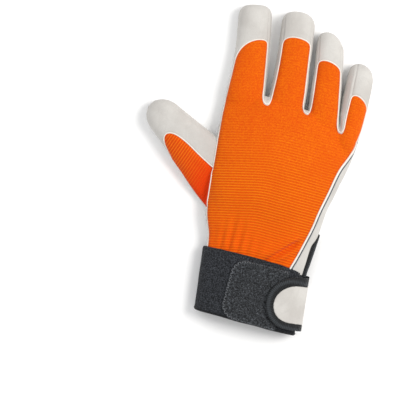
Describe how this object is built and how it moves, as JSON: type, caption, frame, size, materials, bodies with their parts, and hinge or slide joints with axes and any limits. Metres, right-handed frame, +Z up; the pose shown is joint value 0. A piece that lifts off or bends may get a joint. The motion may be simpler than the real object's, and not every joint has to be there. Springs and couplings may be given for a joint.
{
  "type": "work glove",
  "caption": "Right-hand work glove lying palm down: leather palm and fingertips, ribbed knit back, knit cuff and a wrap-over closing strap.",
  "frame": {"origin": "on the floor, under the middle of the glove's bounding box", "axes": "+Y to the fingertips, +X to the little finger, +Z up from the floor, out of the back of the hand"},
  "size_m": [0.1746, 0.2622, 0.028],
  "materials": {
    "sheepskin": "matt off-white grain leather",
    "knit": "fine ribbed orange knit",
    "cuff_knit": "fine ribbed charcoal elastic knit",
    "pile": "loop pile tape",
    "tape": "woven edge binding"
  },
  "bodies": {
    "root": {"palm": "sheepskin", "back_panel": "knit", "fingertip_cap_index": "sheepskin", "fingertip_cap_middle": "sheepskin", "fingertip_cap_ring": "sheepskin", "fingertip_cap_little": "sheepskin", "fourchette_index_middle": "sheepskin", "fourchette_middle_ring": "sheepskin", "fourchette_ring_little": "sheepskin", "thumb": "sheepskin", "thumb_back_panel": "knit", "side_welt": "sheepskin", "slit_binding": "tape", "cuff": "cuff_knit", "loop_patch": "pile", "strap": "sheepskin", "strap_binding": "tape"}
  },
  "joints": []
}
